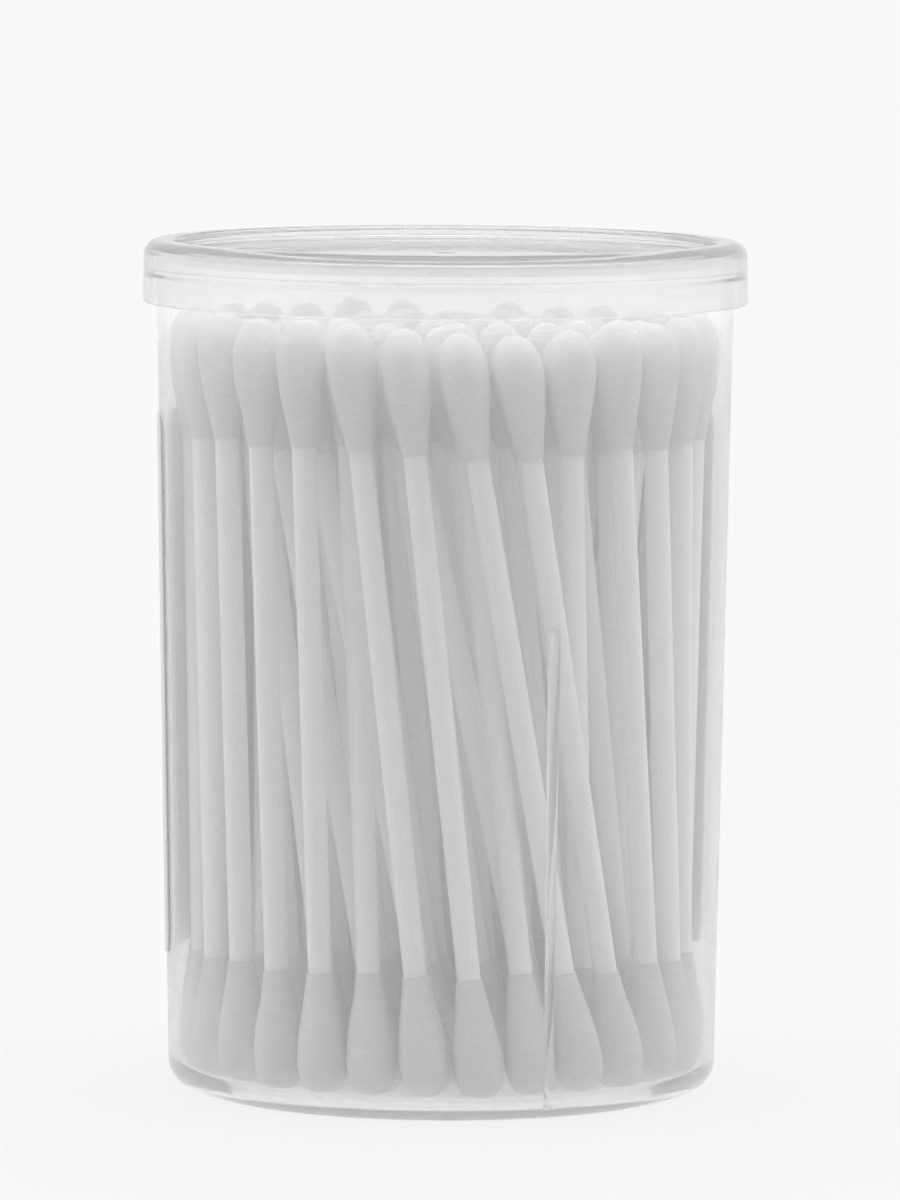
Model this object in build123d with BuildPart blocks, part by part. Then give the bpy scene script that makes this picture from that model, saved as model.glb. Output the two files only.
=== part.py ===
from build123d import *
import math
import os

os.makedirs("parts", exist_ok=True)

# Millimetres. The origin is the centre of the base, +Z is up and the front faces -Y.
# Angles round the tub are measured from the front towards +X.

# Tub: a slightly tapered cup in clear plastic
tub_height = 83.4
tub_top_diameter = 57.4          # outside, at the rim
tub_base_diameter = 54.5         # outside, where the taper reaches the table
tub_wall = 0.8
tub_floor = 1.1
tub_corner_radius = 2.5
foot_recess = 0.3                # the floor stands on a ring round this shallow recess
foot_ring_width = 2.2
bead_height = 1.6                # thick band round the rim that the lid snaps over
bead_depth = 0.15

# Moulded rib on the outside of the tub, front right
rib_angle = 22.5
rib_top = 48.3
rib_bottom = 1.2
rib_top_width = 1.35
rib_bottom_width = 0.9
rib_sink = 0.12                  # how far its axis lies inside the wall's surface

# Lid: a recessed panel inside a hollow rim that straddles the tub's wall
lid_roof = 1.0                   # thickness over the tub's rim
lid_skirt_height = 6.1           # overall, from the top of the rim
lid_skirt_wall = 0.72
lid_skirt_flare = 0.12
lid_plug_wall = 0.8
lid_panel_recess = 1.3
lid_panel_thickness = 0.8
lid_edge_radius = 1.4
lid_inner_edge_radius = 0.4
lid_channel_radius = 0.2
lid_plug_clearance = 0.2
snap_ridge_depth = 0.14
snap_ridge_height = 0.8
snap_side_clearance = 0.2        # the rigid ridge passes the bead without bending
snap_under_clearance = 0.08
gate_dish_diameter = 2.2         # moulding mark in the middle of the panel
gate_dish_depth = 0.3
gate_nub_diameter = 0.8
gate_nub_height = 0.2

# Label: a paper sticker round the back half
label_height = 53.7
label_bottom = 13.4
label_thickness = 0.15
label_start_angle = 100.0
label_span = 180.0
label_corner_radius = 2.0
label_glue = 0.03

# Swabs: a paper stick with cotton wound on both ends
swab_length = 76.2
stick_diameter = 2.3
cotton_diameter = 5.0
cotton_peak = 3.6                # from the tip to the thickest section
cotton_length = 12.3
cotton_neck_thickness = 0.25     # round the stick, where the winding ends
cotton_over_stick = 1.5          # cotton beyond the end of the stick
stick_clearance = 0.05

# The bundle: rings of standing swabs, twisted round the tub's axis
wall_clearance = 0.15
neighbour_gap = 0.12             # between cotton heads at the feet of one ring
ring_gap = 0.2                   # between one ring and the next
outer_start = -33.4              # angle of the outer ring's first top
outer_twist = 4.8                # from a top to the nearest foot
inner_start = -29.0              # the same two angles for the second ring
inner_twist = 44.0
ring_turn = 29.0                 # from one inner ring's first top to the next
swab_lift = 0.4                  # most that a wedged swab stands off the floor
lift_step = 2.4                  # radians from one swab's lift to the next

# Outer swabs whose feet lie one or two places further round than their tops
places_on = {1: 1, 2: 1, 3: 2, 4: 2}
stepped_from = 6                 # from here to the gap at the back, every foot is one place on
back_gap = 17                    # empty place at the top of the outer ring
diving_swab = 5                  # stands in the outer ring at its top, in the second at its foot
# Second-ring swabs whose feet come out into the places that the outer ring leaves free
surfacing_swabs = {0: 1, 2: 4}

# Values worked out from those above
tub_top_radius = tub_top_diameter / 2
tub_base_radius = tub_base_diameter / 2
tub_taper = (tub_top_radius - tub_base_radius) / tub_height
floor_top = foot_recess + tub_floor
bead_radius = tub_top_radius + bead_depth


def tubRadius(z):
    """Outer radius of the tapered wall at a height."""
    return tub_base_radius + tub_taper * z


def aroundTub(radius, angle, z):
    """Point at an angle round the tub, from the front towards +X."""
    turn = math.radians(angle)
    return Vector(radius * math.sin(turn), -radius * math.cos(turn), z)


def cornersNear(sketch, *points):
    """The sketch's corners that lie nearest to the given points."""
    return [sketch.vertices().sort_by_distance(point)[0] for point in points]


# Tub
with BuildPart() as tub:
    with BuildSketch(Plane.XZ) as tub_profile:
        with BuildLine():
            Polyline(
                (0, foot_recess),
                (tub_base_radius - tub_corner_radius - foot_ring_width, foot_recess),
                (tub_base_radius - tub_corner_radius - foot_ring_width, 0),
                (tub_base_radius, 0),
                (tubRadius(tub_height - bead_height), tub_height - bead_height),
                (bead_radius, tub_height - bead_height),
                (bead_radius, tub_height),
                (tub_top_radius - tub_wall, tub_height),
                (tubRadius(floor_top) - tub_wall, floor_top),
                (0, floor_top),
                close=True,
            )
        make_face()
        fillet(cornersNear(tub_profile, (tub_base_radius, 0)), tub_corner_radius)
        inner_corner = (tubRadius(floor_top) - tub_wall, floor_top)
        fillet(cornersNear(tub_profile, inner_corner), tub_corner_radius - tub_wall)
    revolve(axis=Axis.Z)
    rib_foot = aroundTub(tubRadius(rib_bottom) - rib_sink, rib_angle, rib_bottom)
    rib_end_height = rib_top - rib_top_width / 2
    rib_end = aroundTub(tubRadius(rib_end_height) - rib_sink, rib_angle, rib_end_height)
    with Locations(Plane(origin=rib_foot, z_dir=rib_end - rib_foot)):
        Cone(
            bottom_radius=rib_bottom_width / 2,
            top_radius=rib_top_width / 2,
            height=(rib_end - rib_foot).length,
            align=(Align.CENTER, Align.CENTER, Align.MIN),
        )
    with Locations(rib_end):
        Sphere(rib_top_width / 2)
tub.part.label = "tub"
export_step(tub.part, "parts/tub.step")

# Lid
lid_top = tub_height + lid_roof
skirt_bottom = lid_top - lid_skirt_height
panel_top = lid_top - lid_panel_recess
panel_bottom = panel_top - lid_panel_thickness
plug_outer = tub_top_radius - tub_wall - lid_plug_clearance
plug_inner = plug_outer - lid_plug_wall
ridge_radius = bead_radius + snap_side_clearance
ridge_top = tub_height - bead_height - snap_under_clearance
skirt_inner = ridge_radius + snap_ridge_depth
skirt_outer = skirt_inner + lid_skirt_wall

with BuildPart() as lid:
    with BuildSketch(Plane.XZ) as lid_profile:
        with BuildLine():
            Polyline(
                (0, panel_top),
                (plug_inner, panel_top),
                (plug_inner, lid_top),
                (skirt_outer, lid_top),
                (skirt_outer + lid_skirt_flare, skirt_bottom),
                (skirt_inner + lid_skirt_flare, skirt_bottom),
                (skirt_inner, ridge_top - snap_ridge_height),
                (ridge_radius, ridge_top - snap_ridge_height / 2),
                (ridge_radius, ridge_top),
                (skirt_inner, ridge_top),
                (skirt_inner, tub_height),
                (plug_outer, tub_height),
                (plug_outer, panel_bottom),
                (0, panel_bottom),
                close=True,
            )
        make_face()
        fillet(cornersNear(lid_profile, (skirt_outer, lid_top)), lid_edge_radius)
        fillet(cornersNear(lid_profile, (plug_inner, lid_top)), lid_inner_edge_radius)
        channel_corners = (skirt_inner, tub_height), (plug_outer, tub_height)
        fillet(cornersNear(lid_profile, *channel_corners), lid_channel_radius)
    revolve(axis=Axis.Z)
    with Locations((0, 0, panel_top)):
        Hole(gate_dish_diameter / 2, depth=gate_dish_depth)
    with BuildSketch(Plane.XY.offset(panel_top - gate_dish_depth)):
        Circle(gate_nub_diameter / 2)
    extrude(amount=gate_nub_height)
lid.part.label = "lid"
export_step(lid.part, "parts/lid.step")

# Label: a strip revolved round the wall, with its corners cut round
label_top = label_bottom + label_height
label_end_angle = label_start_angle + label_span


def labelCornerPlane(angle, z):
    """Plane facing out of the wall at the centre of a rounded corner, with +Y up."""
    centre = aroundTub(tubRadius(z), angle, z)
    return Plane(origin=centre, x_dir=aroundTub(1, angle + 90, 0), z_dir=aroundTub(1, angle, 0))


with BuildPart() as label:
    with BuildSketch(Plane.XZ.rotated((0, 0, label_start_angle - 90))):
        with BuildLine():
            Polyline(
                (tubRadius(label_bottom) + label_glue, label_bottom),
                (tubRadius(label_bottom) + label_glue + label_thickness, label_bottom),
                (tubRadius(label_top) + label_glue + label_thickness, label_top),
                (tubRadius(label_top) + label_glue, label_top),
                close=True,
            )
        make_face()
    revolve(axis=Axis.Z, revolution_arc=label_span)
    corner_turn = math.degrees(label_corner_radius / tub_base_radius)
    for angle, side in ((label_start_angle, -1), (label_end_angle, 1)):
        for z, end in ((label_bottom, -1), (label_top, 1)):
            with BuildSketch(labelCornerPlane(angle - side * corner_turn, z - end * label_corner_radius)):
                with Locations((side * label_corner_radius, end * label_corner_radius)):
                    Rectangle(2 * label_corner_radius, 2 * label_corner_radius)
                Circle(label_corner_radius, mode=Mode.SUBTRACT)
            extrude(amount=label_corner_radius, both=True, mode=Mode.SUBTRACT)
label.part.label = "label"
export_step(label.part, "parts/label.step")

# One swab, standing on +Z, with its origin at the thickest section of its lower head
between_peaks = swab_length - 2 * cotton_peak
stick_length = swab_length - 2 * cotton_over_stick
stick_start = cotton_over_stick - cotton_peak
stick_radius = stick_diameter / 2
cotton_radius = cotton_diameter / 2
neck_radius = stick_radius + cotton_neck_thickness
bore_radius = stick_radius + stick_clearance
ellipse_share = math.sqrt(0.5)   # the dome is close to half an ellipse

with BuildPart() as swab_stick:
    with BuildSketch(Plane.XY.offset(stick_start)):
        Circle(stick_radius)
    extrude(amount=stick_length)

with BuildPart() as cotton_tip:
    with BuildSketch(Plane.XZ):
        with BuildLine():
            shoulder = (cotton_radius * ellipse_share, -cotton_peak * ellipse_share)
            dome = Spline((0, -cotton_peak), shoulder, (cotton_radius, 0), tangents=((1, 0), (0, 1)))
            neck = (neck_radius, cotton_length - cotton_peak)
            Spline(dome @ 1, neck, tangents=((0, 1), (-0.1, 1)))
            Polyline(neck, (bore_radius, neck[1]), (bore_radius, stick_start), (0, stick_start), dome @ 0)
        make_face()
    revolve(axis=Axis.Z)

# Rings of places, as many as fit across the floor, fanning out with the wall
foot_height = floor_top + cotton_peak
outer_foot_radius = tubRadius(foot_height) - tub_wall - wall_clearance - cotton_radius
top_height = floor_top + swab_length - cotton_peak
outer_top_radius = tubRadius(top_height) - tub_wall - wall_clearance - cotton_radius
fan_out = outer_top_radius / outer_foot_radius
ring_step = cotton_diameter + ring_gap
smallest_ring = (cotton_diameter + neighbour_gap) / 2
ring_count = 1 + int((outer_foot_radius - smallest_ring) / ring_step)


def ringStart(ring):
    """Angle of a ring's first top."""
    return inner_start + (ring - 1) * ring_turn if ring else outer_start


def ringTwist(ring):
    """Angle from a ring's first top to its first foot."""
    return inner_twist if ring else outer_twist


def ringFootRadius(ring):
    """Radius at the feet of a ring, 0 being the outer one."""
    return outer_foot_radius - ring * ring_step


def ringPlaces(ring):
    """How many swabs stand side by side in a ring."""
    tightest = ringFootRadius(ring) * min(1, fan_out)
    return int(math.pi / math.asin(smallest_ring / tightest))


def topPoint(ring, place):
    """Where a swab of this ring and place has its upper head."""
    angle = ringStart(ring) + place * 360 / ringPlaces(ring)
    return aroundTub(ringFootRadius(ring) * fan_out, angle, 0)


def footPoint(ring, place):
    """Where a swab's lower head stands, on the same places turned by the ring's twist."""
    angle = ringStart(ring) + ringTwist(ring) + place * 360 / ringPlaces(ring)
    return aroundTub(ringFootRadius(ring), angle, 0)


def standingPlane(foot, top, lift):
    """Plane that stands the swab on the floor between its two places."""
    rise = math.sqrt(between_peaks**2 - (top - foot).length ** 2)
    lean = math.acos(rise / between_peaks)
    head_height = math.hypot(cotton_peak * math.cos(lean), cotton_radius * math.sin(lean))
    start = foot + Vector(0, 0, floor_top + head_height + lift)
    return Plane(origin=start, z_dir=top - foot + Vector(0, 0, rise))


def ringPlanes(ring):
    """Planes of all the swabs whose tops stand in a ring."""
    planes = []
    for place in range(ringPlaces(ring)):
        foot = footPoint(ring, place)
        if ring == 0 and place == back_gap:
            continue
        if ring == 0 and place == diving_swab:
            foot = footPoint(1, max(surfacing_swabs))
        elif ring == 0:
            stepped = stepped_from <= place < back_gap
            foot = footPoint(0, place + places_on.get(place, 1 if stepped else 0))
        elif ring == 1 and place in surfacing_swabs:
            foot = footPoint(0, surfacing_swabs[place])
        lift = swab_lift * (1 + math.sin(lift_step * (place + ring))) / 2
        planes.append(standingPlane(foot, topPoint(ring, place), lift))
    return planes


upper_tip = Location((0, 0, between_peaks), (180, 0, 0))
for ring in range(ring_count):
    planes = ringPlanes(ring)
    with BuildPart() as sticks:
        with Locations(*planes):
            add(swab_stick.part)
    sticks.part.label = f"sticks_ring_{ring + 1}"
    export_step(sticks.part, f"parts/sticks_ring_{ring + 1}.step")
    upper_planes = [Plane(plane.location * upper_tip) for plane in planes]
    with BuildPart() as tips:
        with Locations(*planes, *upper_planes):
            add(cotton_tip.part)
    tips.part.label = f"cotton_ring_{ring + 1}"
    export_step(tips.part, f"parts/cotton_ring_{ring + 1}.step")
    print(tips.part.label, len(planes), "swabs")
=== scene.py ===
import bmesh
import bpy
import math
import random
from mathutils import Matrix, Vector, noise


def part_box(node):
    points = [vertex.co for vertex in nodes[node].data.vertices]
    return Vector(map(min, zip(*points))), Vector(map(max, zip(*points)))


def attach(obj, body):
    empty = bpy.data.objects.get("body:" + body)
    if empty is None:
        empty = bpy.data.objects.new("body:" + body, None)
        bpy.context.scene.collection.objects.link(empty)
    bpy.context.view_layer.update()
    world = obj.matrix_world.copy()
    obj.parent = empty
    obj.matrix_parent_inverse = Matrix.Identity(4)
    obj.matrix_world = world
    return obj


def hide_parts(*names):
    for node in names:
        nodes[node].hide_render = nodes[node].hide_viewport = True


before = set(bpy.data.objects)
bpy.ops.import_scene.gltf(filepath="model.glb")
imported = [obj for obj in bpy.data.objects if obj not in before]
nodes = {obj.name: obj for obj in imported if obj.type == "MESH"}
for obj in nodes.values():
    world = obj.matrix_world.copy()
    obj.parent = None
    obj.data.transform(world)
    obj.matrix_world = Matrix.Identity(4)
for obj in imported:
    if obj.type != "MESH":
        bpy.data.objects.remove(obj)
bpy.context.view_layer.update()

mm = 0.001
tiny = 0.001 * mm
mergeDistance = 0.002 * mm
sharpAngle = math.radians(35)
sticksNodes = sorted(name for name in nodes if name.startswith("sticks_ring_"))
print("frame loaded,", len(nodes), "nodes")


class Num:  # a number socket that can be used in plain sums
    def __init__(self, look, socket):
        self.look = look
        self.socket = socket

    def combine(self, operation, other):
        return self.look.num("ShaderNodeMath", {"operation": operation}, {0: self, 1: other})

    def __add__(self, other):
        return self.combine("ADD", other)

    def __mul__(self, other):
        return self.combine("MULTIPLY", other)

    __radd__ = __add__
    __rmul__ = __mul__


class Look:  # the nodes of one material, or of the world
    def __init__(self, owner, shader="ShaderNodeBsdfPrincipled", out="ShaderNodeOutputMaterial"):
        self.owner = owner
        owner.use_nodes = True
        self.tree = owner.node_tree
        self.tree.nodes.clear()
        self.shader = self.node(shader)
        self.out = self.node(out, {}, {"Surface": self.shader.outputs[0]})

    def node(self, kind, settings={}, inputs={}):
        made = self.tree.nodes.new(kind)
        for name, value in settings.items():
            setattr(made, name, value)
        self.join(made, inputs)
        return made

    def join(self, node, inputs):
        for name, value in inputs.items():
            if isinstance(value, Num):
                value = value.socket
            if isinstance(value, bpy.types.NodeSocket):
                self.tree.links.new(value, node.inputs[name])
            else:
                node.inputs[name].default_value = value

    def num(self, kind, settings={}, inputs={}):
        return Num(self, self.node(kind, settings, inputs).outputs[0])

    def mixColour(self, factor, a, b):
        made = self.node("ShaderNodeMix", {"data_type": "RGBA"}, {0: factor, 6: a, 7: b})
        return made.outputs[2]

    def coords(self, attribute=None, scale=(1, 1, 1)):
        if attribute:
            place = self.node("ShaderNodeAttribute", {"attribute_name": attribute}).outputs["Vector"]
        else:
            place = self.node("ShaderNodeTexCoord").outputs["Object"]
        return self.node("ShaderNodeMapping", {}, {"Vector": place, "Scale": scale}).outputs[0]

    def grain(self, place, scale, detail=3.0, roughness=0.55):
        values = {"Vector": place, "Scale": scale, "Detail": detail, "Roughness": roughness}
        return self.num("ShaderNodeTexNoise", {}, values)

    def haze(self, share, colour):  # milky plastic scatters a share of what shines through it
        milk = self.node("ShaderNodeBsdfTranslucent", {}, {"Color": colour})
        both = self.node("ShaderNodeMixShader", {}, {0: share, 1: self.shader.outputs[0], 2: milk.outputs[0]})
        self.join(self.out, {"Surface": both.outputs[0]})

    def bump(self, height, strength, distance):
        made = self.node("ShaderNodeBump", {}, {"Height": height, "Strength": strength, "Distance": distance})
        self.join(self.shader, {"Normal": made.outputs[0]})


# Materials

plasticIor = 1.49
clearPlasticTones = {
    "dusty": (0.965, 0.97, 0.975, 1), "clean": (0.985, 0.988, 0.99, 1),
    "milk": (0.93, 0.925, 0.925, 1), "milkShare": 0.2,
    "flowStretch": (1, 1, 0.12), "flowScale": 160.0, "dustScale": 420.0,
    "flowBump": 0.12, "flowDepth": 0.02 * mm,
}


def clearPlasticLook():
    c = clearPlasticTones
    look = Look(bpy.data.materials.new("clearPlastic"))
    ripple = look.grain(look.coords(scale=c["flowStretch"]), c["flowScale"], 2.0)  # flow lines up the wall
    dust = look.grain(look.coords(), c["dustScale"], 4.0)
    look.join(look.shader, {
        "Base Color": look.mixColour(dust, c["dusty"], c["clean"]),
        "Roughness": dust * 0.03 + 0.01,
        "IOR": plasticIor,
        "Transmission Weight": 1.0,
    })
    look.bump(ripple, c["flowBump"], c["flowDepth"])
    look.haze(c["milkShare"], c["milk"])
    return look.owner


lidPlasticTones = {
    "cloudy": (0.9, 0.903, 0.908, 1), "clean": (0.93, 0.933, 0.938, 1),
    "milk": (0.75, 0.75, 0.755, 1), "milkShare": 0.17,
    "flowStretch": (1, 1, 0.4), "flowScale": 120.0, "cloudScale": 260.0,
    "flowBump": 0.08, "flowDepth": 0.02 * mm,
}


def lidPlasticLook():
    c = lidPlasticTones
    look = Look(bpy.data.materials.new("lidPlastic"))
    cloud = look.grain(look.coords(), c["cloudScale"], 4.0)
    ripple = look.grain(look.coords(scale=c["flowStretch"]), c["flowScale"], 2.0)
    look.join(look.shader, {
        "Base Color": look.mixColour(cloud, c["cloudy"], c["clean"]),
        "Roughness": cloud * 0.03 + 0.03,
        "IOR": plasticIor,
        "Transmission Weight": 1.0,
    })
    look.bump(ripple, c["flowBump"], c["flowDepth"])
    look.haze(c["milkShare"], c["milk"])
    return look.owner


labelPaperTones = {
    "dark": (0.74, 0.72, 0.705, 1), "light": (0.80, 0.785, 0.77, 1), "cloud": (0.77, 0.755, 0.745, 1),
    "fibreStretch": (1, 1, 0.5), "fibreScale": 900.0, "cloudScale": 70.0, "cloudShare": 0.35,
    "fibreBump": 0.3, "fibreDepth": 0.03 * mm, "lightDepth": 0.8 * mm,
}


def labelPaperLook():
    c = labelPaperTones
    look = Look(bpy.data.materials.new("labelPaper"))
    fibre = look.grain(look.coords(scale=c["fibreStretch"]), c["fibreScale"], 5.0, 0.65)
    cloud = look.grain(look.coords(), c["cloudScale"], 2.0)
    tone = look.mixColour(fibre, c["dark"], c["light"])
    look.join(look.shader, {
        "Base Color": look.mixColour(cloud * c["cloudShare"], tone, c["cloud"]),
        "Roughness": fibre * 0.2 + 0.62,
        "Specular IOR Level": 0.3,
        "Subsurface Weight": 0.5,  # thin paper lets light through
        "Subsurface Radius": (1.0, 0.95, 0.9),
        "Subsurface Scale": c["lightDepth"],
    })
    look.bump(fibre, c["fibreBump"], c["fibreDepth"])
    return look.owner


stickPaperTones = {
    "dark": (0.87, 0.862, 0.86, 1), "light": (0.93, 0.925, 0.925, 1), "wrap": (0.88, 0.865, 0.86, 1),
    "paintedGlow": (1.0, 0.975, 0.965, 1), "paintedGlowStrength": 0.022,
    "fibreScale": 1500.0, "wrapStretch": (1, 1, 0.06), "wrapScale": 2600.0, "wrapShare": 0.4,
    "bump": 0.35, "bumpDepth": 0.02 * mm, "lightDepth": 0.6 * mm,
}


def stickPaperLook():
    c = stickPaperTones
    look = Look(bpy.data.materials.new("stickPaper"))
    fibre = look.grain(look.coords("woundAt"), c["fibreScale"], 4.0, 0.6)
    wrap = look.grain(look.coords("woundAt", c["wrapStretch"]), c["wrapScale"], 2.0)  # along the stick
    tone = look.mixColour(fibre, c["dark"], c["light"])
    look.join(look.shader, {
        "Base Color": look.mixColour(wrap * c["wrapShare"], tone, c["wrap"]),
        "Roughness": fibre * 0.15 + 0.48,
        "Specular IOR Level": 0.35,
        "Subsurface Weight": 0.6,
        "Subsurface Radius": (1.0, 1.0, 1.0),
        "Subsurface Scale": c["lightDepth"],
        "Emission Color": c["paintedGlow"],  # stands for light passed on in the depth of the bundle
        "Emission Strength": c["paintedGlowStrength"],
    })
    look.bump(wrap * 0.6 + fibre * 0.4, c["bump"], c["bumpDepth"])
    return look.owner


cottonTones = {
    "dark": (0.86, 0.86, 0.865, 1), "light": (0.99, 0.99, 0.99, 1), "tuft": (0.9, 0.9, 0.905, 1),
    "paintedGlow": (1.0, 0.985, 0.98, 1), "paintedGlowStrength": 0.06,
    "strandStretch": (0.22, 0.22, 1.0), "strandScale": 4200.0, "strandLow": 0.35, "strandHigh": 0.65,
    "tuftStretch": (0.7, 0.7, 1.0), "tuftScale": 900.0, "tuftShare": 0.35,
    "bump": 1.0, "bumpDepth": 0.25 * mm, "lightDepth": 1.0 * mm,
}


def cottonLook():
    c = cottonTones
    look = Look(bpy.data.materials.new("cotton"))
    strands = look.grain(look.coords("woundAt", c["strandStretch"]), c["strandScale"], 5.0, 0.7)
    tuft = look.grain(look.coords("woundAt", c["tuftStretch"]), c["tuftScale"], 4.0, 0.6)
    winding = look.num(  # fibres run round the head
        "ShaderNodeMapRange", {}, {"Value": strands, "From Min": c["strandLow"], "From Max": c["strandHigh"]}
    )
    tone = look.mixColour(winding, c["dark"], c["light"])
    look.join(look.shader, {
        "Base Color": look.mixColour(tuft * c["tuftShare"], tone, c["tuft"]),
        "Roughness": winding * 0.15 + 0.82,
        "Specular IOR Level": 0.1,
        "Sheen Weight": 0.8,
        "Sheen Roughness": 0.45,
        # painted light: a faint even glow in the cotton stands in for light passed on in the depth of the
        # bundle
        "Emission Color": c["paintedGlow"],
        "Emission Strength": c["paintedGlowStrength"],
        "Subsurface Weight": 0.6,
        "Subsurface Radius": (1.0, 1.0, 1.0),
        "Subsurface Scale": c["lightDepth"],
    })
    look.bump(winding * 0.7 + tuft * 0.5, c["bump"], c["bumpDepth"])
    return look.owner


clearPlastic = clearPlasticLook()
lidPlastic = lidPlasticLook()
labelPaper = labelPaperLook()
stickPaper = stickPaperLook()
cotton = cottonLook()
print("materials made")


# Shared steps

def meshFrom(name, shape):
    mesh = bpy.data.meshes.new(name)
    shape.to_mesh(mesh)
    shape.free()
    return mesh


def smoothFaces(mesh):
    mesh.shade_smooth()
    mesh.set_sharp_from_angle(angle=sharpAngle)


def finishPiece(name, shape, material, body, node):
    mesh = meshFrom(name, shape)
    mesh.materials.append(material)
    smoothFaces(mesh)
    material.cycles.emission_sampling = "NONE"
    piece = bpy.data.objects.new(name, mesh)
    bpy.context.scene.collection.objects.link(piece)
    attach(piece, body)
    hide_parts(node)
    return piece


def joinSolid(piece, shape):  # melts a second closed shape into the piece
    added = bpy.data.objects.new("added", meshFrom("added", shape))
    bpy.context.scene.collection.objects.link(added)
    union = piece.modifiers.new("union", "BOOLEAN")
    union.operation = "UNION"
    union.solver = "EXACT"
    union.object = added
    bpy.context.view_layer.update()
    ready = piece.evaluated_get(bpy.context.evaluated_depsgraph_get())
    joined = bpy.data.meshes.new_from_object(ready)
    piece.modifiers.remove(union)
    bpy.data.objects.remove(added)
    smoothFaces(joined)
    piece.data = joined


def spinRound(shape, steps):
    bmesh.ops.spin(
        shape, geom=shape.verts[:] + shape.edges[:], cent=(0, 0, 0), axis=(0, 0, 1),
        angle=math.tau, steps=steps, use_merge=True,
    )
    bmesh.ops.remove_doubles(shape, verts=shape.verts, dist=mergeDistance)
    bmesh.ops.recalc_face_normals(shape, faces=shape.faces)


def turnProfile(corners, steps, roundSteps):  # corners are (radius, height, rounding), from axis to axis
    shape = bmesh.new()
    verts = [shape.verts.new((radius, 0, height)) for radius, height, _ in corners]
    shape.faces.new(verts)
    for vert, corner in zip(verts, corners):
        rounding = corner[2]
        if rounding:
            bmesh.ops.bevel(
                shape, geom=[vert], offset=rounding, affect="VERTICES", segments=roundSteps,
                profile=0.5, material=-1,
            )
    bmesh.ops.delete(shape, geom=shape.faces[:], context="FACES_ONLY")
    onAxis = [edge for edge in shape.edges if max(vert.co.x for vert in edge.verts) < tiny]
    bmesh.ops.delete(shape, geom=onAxis, context="EDGES")
    spinRound(shape, steps)
    return shape


def outward(angle):  # level direction at an angle round the tub, from the front towards +X
    return Vector((math.sin(math.radians(angle)), -math.cos(math.radians(angle)), 0))


# Tub

tubShape = {
    "wall": 0.8 * mm, "floor": 1.1 * mm, "corner": 2.5 * mm, "recess": 0.3 * mm, "footRing": 2.2 * mm,
    "beadHeight": 1.6 * mm, "beadDepth": 0.15 * mm, "baseRadius": 27.25 * mm, "edge": 0.12 * mm,
    "steps": 256, "roundSteps": 8,
    "ribAngle": 22.5, "ribTop": 48.3 * mm, "ribBottom": 1.2 * mm, "ribSink": 0.05 * mm, "ribRise": 0.8,
    "ribTopRadius": 0.675 * mm, "ribBottomRadius": 0.45 * mm, "ribDome": 0.98, "ribSteps": 24,
}
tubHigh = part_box("tub")[1]
tubTop = tubHigh.z
rimRadius = tubHigh.x - tubShape["beadDepth"]
floorTop = tubShape["recess"] + tubShape["floor"]


def tubRadius(height):  # outside of the tapered wall
    return tubShape["baseRadius"] + (rimRadius - tubShape["baseRadius"]) * height / tubTop


def makeRib():
    s = tubShape
    foot, top = [
        outward(s["ribAngle"]) * (tubRadius(height) - s["ribSink"]) + Vector((0, 0, height))
        for height in (s["ribBottom"], s["ribTop"] - s["ribTopRadius"])
    ]
    run = top - foot
    length = run.length + s["ribTopRadius"]
    rib = turnProfile([
        (0, 0, 0),
        (s["ribBottomRadius"], 0, 0),
        (s["ribTopRadius"], length, s["ribTopRadius"] * s["ribDome"]),
        (0, length, 0),
    ], s["ribSteps"], s["roundSteps"])
    across = outward(s["ribAngle"] + 90)
    outwards = across.cross(run.normalized())
    stand = Matrix.Translation(foot) @ Matrix((across, outwards, run.normalized())).transposed().to_4x4()
    stand = stand @ Matrix.Diagonal((1, s["ribRise"], 1, 1))
    bmesh.ops.transform(rib, matrix=stand, verts=rib.verts)
    return rib


def makeTub():
    s = tubShape
    recessRadius = s["baseRadius"] - s["corner"] - s["footRing"]
    beadFoot = tubTop - s["beadHeight"]
    shape = turnProfile([
        (0, s["recess"], 0),
        (recessRadius, s["recess"], s["edge"]),
        (recessRadius, 0, s["edge"]),
        (s["baseRadius"], 0, s["corner"]),
        (tubRadius(beadFoot), beadFoot, 0),
        (tubHigh.x, beadFoot, s["edge"] / 2),
        (tubHigh.x, tubTop, s["edge"]),
        (rimRadius - s["wall"], tubTop, s["edge"]),
        (tubRadius(floorTop) - s["wall"], floorTop, s["corner"] - s["wall"]),
        (0, floorTop, 0),
    ], s["steps"], s["roundSteps"])
    tub = finishPiece("tubShell", shape, clearPlastic, "tub", "tub")
    joinSolid(tub, makeRib())
    return tub


# Lid

lidShape = {
    "skirtWall": 0.72 * mm, "flare": 0.12 * mm, "plugWall": 0.8 * mm, "recess": 1.3 * mm, "panel": 0.8 * mm,
    "edge": 1.4 * mm, "innerEdge": 0.4 * mm, "channelEdge": 0.2 * mm, "plugGap": 0.2 * mm, "fine": 0.08 * mm,
    "ridgeDepth": 0.14 * mm, "ridgeHeight": 0.8 * mm, "ridgeGap": 0.08 * mm, "roundSteps": 6,
    "dishRadius": 1.1 * mm, "dishDepth": 0.3 * mm, "nubRadius": 0.4 * mm, "nubHeight": 0.2 * mm,
}


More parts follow.
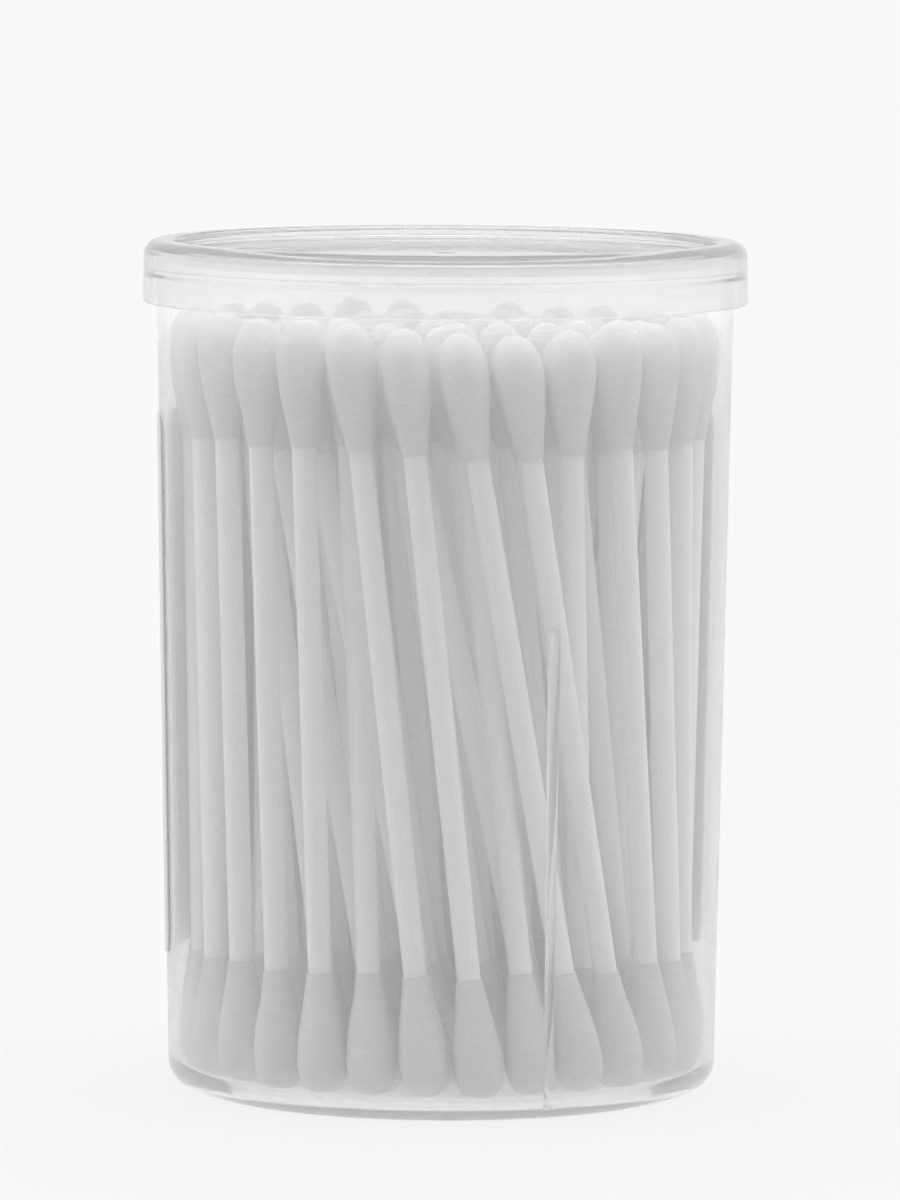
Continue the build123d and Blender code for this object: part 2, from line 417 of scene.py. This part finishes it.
def makeLid():
    s = lidShape
    low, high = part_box("lid")
    panelTop = high.z - s["recess"]
    dishFloor = panelTop - s["dishDepth"]
    plugOuter = rimRadius - tubShape["wall"] - s["plugGap"]
    plugInner = plugOuter - s["plugWall"]
    skirtOuter = high.x - s["flare"]
    skirtInner = skirtOuter - s["skirtWall"]
    ridgeTop = tubTop - tubShape["beadHeight"] - s["ridgeGap"]
    shape = turnProfile([
        (0, dishFloor + s["nubHeight"], 0),
        (s["nubRadius"], dishFloor + s["nubHeight"], s["fine"]),
        (s["nubRadius"], dishFloor, 0),
        (s["dishRadius"], dishFloor, s["fine"]),
        (s["dishRadius"], panelTop, s["fine"]),
        (plugInner, panelTop, s["innerEdge"] / 2),
        (plugInner, high.z, s["innerEdge"]),
        (skirtOuter, high.z, s["edge"]),
        (high.x, low.z, s["fine"]),
        (high.x - s["skirtWall"], low.z, s["fine"]),
        (skirtInner, ridgeTop - s["ridgeHeight"], s["fine"]),
        (skirtInner - s["ridgeDepth"], ridgeTop - s["ridgeHeight"] / 2, s["fine"] / 2),
        (skirtInner - s["ridgeDepth"], ridgeTop, s["fine"] / 2),
        (skirtInner, ridgeTop, s["fine"] / 2),
        (skirtInner, tubTop, s["channelEdge"]),
        (plugOuter, tubTop, s["channelEdge"]),
        (plugOuter, panelTop - s["panel"], s["fine"]),
        (0, panelTop - s["panel"], 0),
    ], tubShape["steps"], s["roundSteps"])
    return finishPiece("lidShell", shape, lidPlastic, "lid", "lid")


# Label

labelShape = {
    "start": 100.0, "span": 180.0, "thickness": 0.15 * mm, "glue": 0.03 * mm,
    "corner": 2.0 * mm, "cornerSteps": 8, "slices": 160,
}


def makeLabel():
    s = labelShape
    low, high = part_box("label")
    length = math.radians(s["span"]) * tubShape["baseRadius"]
    shape = bmesh.new()
    corners = [(0, low.z), (length, low.z), (length, high.z), (0, high.z)]
    shape.faces.new([shape.verts.new((x, 0, z)) for x, z in corners])
    bmesh.ops.bevel(
        shape, geom=shape.verts[:], offset=s["corner"], affect="VERTICES", segments=s["cornerSteps"],
        profile=0.5, material=-1,
    )
    for cut in range(1, s["slices"]):
        bmesh.ops.bisect_plane(
            shape, geom=shape.verts[:] + shape.edges[:] + shape.faces[:], dist=tiny,
            plane_co=(length * cut / s["slices"], 0, 0), plane_no=(1, 0, 0),
        )
    for vert in shape.verts:  # the flat sticker bends round the tapered wall
        height = vert.co.z
        radius = tubRadius(height) + s["glue"] + s["thickness"]
        vert.co = outward(s["start"] + s["span"] * vert.co.x / length) * radius + Vector((0, 0, height))
    bmesh.ops.recalc_face_normals(shape, faces=shape.faces)
    first = shape.faces[:][0]
    if first.normal.xy.dot(first.calc_center_median().xy) < 0:  # an open sheet may come out facing inwards
        bmesh.ops.reverse_faces(shape, faces=shape.faces)
    bmesh.ops.solidify(shape, geom=shape.faces[:], thickness=s["thickness"])
    finishPiece("labelSheet", shape, labelPaper, "tub", "label")


# Swabs

swabShape = {
    "stickRadius": 1.15 * mm, "cottonBeyond": 1.5 * mm, "radius": 2.5 * mm, "peak": 3.6 * mm,
    "neckRadius": 1.3 * mm, "length": 12.3 * mm, "slope": 0.8, "coreShare": 0.98,
    "lump": 0.07 * mm, "lumpSize": 3.2 * mm, "tuft": 0.03 * mm, "tuftSize": 0.9 * mm,
    "fade": 2.0 * mm, "endLift": 0.3, "sizes": (0.965, 1.0), "scatter": 0.5,
    "outerDetail": (36, 9), "innerDetail": (20, 5), "stickSides": 24,
}
chance = random.Random(7)


def swabEnds(node):  # lower and upper end of every stick in the node
    shape = bmesh.new()
    shape.from_mesh(nodes[node].data)
    bmesh.ops.remove_doubles(shape, verts=shape.verts, dist=mergeDistance)
    ends = []
    for first in shape.verts:
        if first.tag:
            continue
        first.tag = True
        island = [first]
        for vert in island:
            for edge in vert.link_edges:
                other = edge.other_vert(vert)
                if not other.tag:
                    other.tag = True
                    island.append(other)
        middle = sum(vert.co.z for vert in island) / len(island)
        low = [vert.co for vert in island if vert.co.z < middle]
        high = [vert.co for vert in island if vert.co.z >= middle]
        ends.append((sum(low, Vector()) / len(low), sum(high, Vector()) / len(high)))
    shape.free()
    return ends


def headTemplate(steps, rows):  # one wound head, its tip at the origin and its stick below
    s = swabShape
    points = []
    for row in range(rows + 1):
        turn = row / rows * math.pi / 2
        points.append((s["radius"] * math.sin(turn), s["peak"] * (math.cos(turn) - 1)))
    for row in range(1, 2 * rows + 1):
        along = row / (2 * rows)
        fall = (1 - math.cos(math.pi * s["slope"] * along)) / (1 - math.cos(math.pi * s["slope"]))
        radius = s["radius"] - (s["radius"] - s["neckRadius"]) * fall
        points.append((radius, -s["peak"] - (s["length"] - s["peak"]) * along))
    tuck = -s["length"] - (s["neckRadius"] - s["stickRadius"]) / 2
    points += [(s["stickRadius"] * s["coreShare"], tuck), (0, tuck)]
    shape = bmesh.new()
    verts = [shape.verts.new((radius, 0, height)) for radius, height in points]
    for pair in zip(verts, verts[1:]):
        shape.edges.new(pair)
    spinRound(shape, steps)
    return meshFrom("head", shape)


def addCopy(shape, template, wound, shift):  # adds the template and returns its new vertices
    start = len(shape.verts)
    shape.from_mesh(template)
    shape.verts.ensure_lookup_table()
    fresh = shape.verts[start:]
    wound += [component for vert in fresh for component in vert.co + shift]
    return fresh


def ruffle(verts, shift):  # the uneven winding of the cotton
    s = swabShape
    for vert in verts:
        grip = min(1.0, max(0.0, (s["length"] + vert.co.z) / s["fade"]))
        lump = noise.noise((vert.co + shift) / s["lumpSize"]) * s["lump"]
        tuft = noise.noise((vert.co + shift) / s["tuftSize"]) * s["tuft"]
        out = Vector((vert.co.x, vert.co.y, s["endLift"] * (vert.co.z + s["peak"])))
        if out.length > 0:
            vert.co += out.normalized() * (lump + tuft) * grip


def aimed(point, direction):
    return Matrix.Translation(point) @ direction.to_track_quat("Z", "Y").to_matrix().to_4x4()


def randomShift():  # every copy takes its grain from another place
    return Vector([chance.uniform(0, swabShape["scatter"]) for _ in range(3)])


def finishRing(name, shape, material, node, wound):
    piece = finishPiece(name, shape, material, "tub", node)
    mark = piece.data.attributes.new("woundAt", "FLOAT_VECTOR", "POINT")
    mark.data.foreach_set("vector", wound)


def makeRing(node, detail):
    s = swabShape
    number = node.rsplit("_", 1)[1]
    head = headTemplate(*detail)
    sticks, heads = bmesh.new(), bmesh.new()
    stickMarks, headMarks = [], []
    for low, high in swabEnds(node):
        axis = (high - low).normalized()
        shift = randomShift()
        stick = bmesh.new()
        bmesh.ops.create_cone(
            stick, cap_ends=True, segments=s["stickSides"], depth=(high - low).length,
            radius1=s["stickRadius"], radius2=s["stickRadius"],
        )
        bmesh.ops.recalc_face_normals(stick, faces=stick.faces)
        fresh = addCopy(sticks, meshFrom("stick", stick), stickMarks, shift)
        bmesh.ops.transform(sticks, matrix=aimed((low + high) / 2, axis), verts=fresh)
        for end, way in ((low, -axis), (high, axis)):
            shift = randomShift()
            fresh = addCopy(heads, head, headMarks, shift)
            ruffle(fresh, shift)
            size = chance.uniform(*s["sizes"])
            spun = Matrix.Rotation(chance.uniform(0, math.tau), 4, "Z")
            turned = spun @ Matrix.Diagonal((size, size, 1, 1))
            place = aimed(end + way * s["cottonBeyond"], way) @ turned
            bmesh.ops.transform(heads, matrix=place, verts=fresh)
    finishRing("sticksRing" + number, sticks, stickPaper, node, stickMarks)
    finishRing("cottonRing" + number, heads, cotton, node.replace("sticks", "cotton"), headMarks)


for shell in (makeTub(), makeLid()):
    flats = shell.modifiers.new("flats", "WEIGHTED_NORMAL")  # keeps long faces true beside the rounded edges
    flats.keep_sharp = True
    shell.visible_shadow = False  # light reaches the cotton through the clear shells
    shell.visible_diffuse = False
makeLabel()
print("shells and label made")
for node in sticksNodes:
    makeRing(node, swabShape["outerDetail"] if node == sticksNodes[0] else swabShape["innerDetail"])
print("swabs made")


# Floor, light and camera

studio = {
    "floorSize": 7.0, "floorColour": (0.14, 0.14, 0.14, 1), "speckColour": (0.15, 0.15, 0.15, 1),
    "speckScale": 60.0, "floorGlow": 0.76,
    "backdrop": 0.94, "front": 0.03, "behind": 1.0, "riseFrom": -0.8, "riseTo": -0.1, "frontBlue": 1.01,
    "sunStrength": 1.6, "sunAngle": 70.0,
    "eye": (0.63 * mm, -850.6 * mm, 130.4 * mm), "pitch": 0.096, "roll": 0.0057,
    "lens": 257.27, "film": 36.0, "farthest": 50,
}


def makeFloor():
    shape = bmesh.new()
    bmesh.ops.create_grid(shape, x_segments=8, y_segments=8, size=studio["floorSize"])
    mesh = meshFrom("floor", shape)
    look = Look(bpy.data.materials.new("paleFloor"))
    speck = look.grain(look.coords(), studio["speckScale"])
    look.join(look.shader, {
        "Base Color": look.mixColour(speck, studio["floorColour"], studio["speckColour"]),
        "Roughness": 0.8,
        "Specular IOR Level": 0.0,
        "Emission Color": (1.0, 1.0, 1.0, 1),
        "Emission Strength": studio["floorGlow"],
    })
    look.owner.cycles.emission_sampling = "NONE"
    mesh.materials.append(look.owner)
    floor = bpy.data.objects.new("floor", mesh)
    bpy.context.scene.collection.objects.link(floor)


def makeWorld():
    world = bpy.data.worlds.new("studio")
    bpy.context.scene.world = world
    look = Look(world, "ShaderNodeBackground", "ShaderNodeOutputWorld")
    way = look.node("ShaderNodeSeparateXYZ", {}, {0: look.node("ShaderNodeTexCoord").outputs["Generated"]})
    back = look.num(
        "ShaderNodeMapRange", {"interpolation_type": "SMOOTHSTEP"},
        {"Value": way.outputs["Y"], "From Min": studio["riseFrom"], "From Max": studio["riseTo"]},
    )
    front, behind, plain = studio["front"], studio["behind"], studio["backdrop"]
    around = look.mixColour(back, (front, front, front * studio["frontBlue"], 1), (behind, behind, behind, 1))
    seen = look.node("ShaderNodeLightPath").outputs["Is Camera Ray"]
    look.join(look.shader, {"Color": look.mixColour(seen, around, (plain, plain, plain, 1)), "Strength": 1.0})


def makeSun():
    light = bpy.data.lights.new("overhead", "SUN")
    light.energy = studio["sunStrength"]
    light.angle = math.radians(studio["sunAngle"])
    sun = bpy.data.objects.new("overhead", light)
    sun.location = (0, 0, 1)
    bpy.context.scene.collection.objects.link(sun)


def makeCamera():
    data = bpy.data.cameras.new("camera")
    data.lens = studio["lens"]
    data.sensor_width = studio["film"]
    data.clip_end = studio["farthest"]
    camera = bpy.data.objects.new("camera", data)
    camera.matrix_world = (
        Matrix.Translation(studio["eye"])
        @ Matrix.Rotation(math.pi / 2 - studio["pitch"], 4, "X")
        @ Matrix.Rotation(studio["roll"], 4, "Z")
    )
    bpy.context.scene.collection.objects.link(camera)
    bpy.context.scene.camera = camera


makeFloor()
makeWorld()
makeSun()
makeCamera()
bpy.context.scene.view_settings.view_transform = "Standard"
bpy.context.scene.cycles.diffuse_bounces = 16  # white on white needs many bounces to fill its gaps
bpy.context.scene.cycles.max_bounces = 24
print("studio ready")
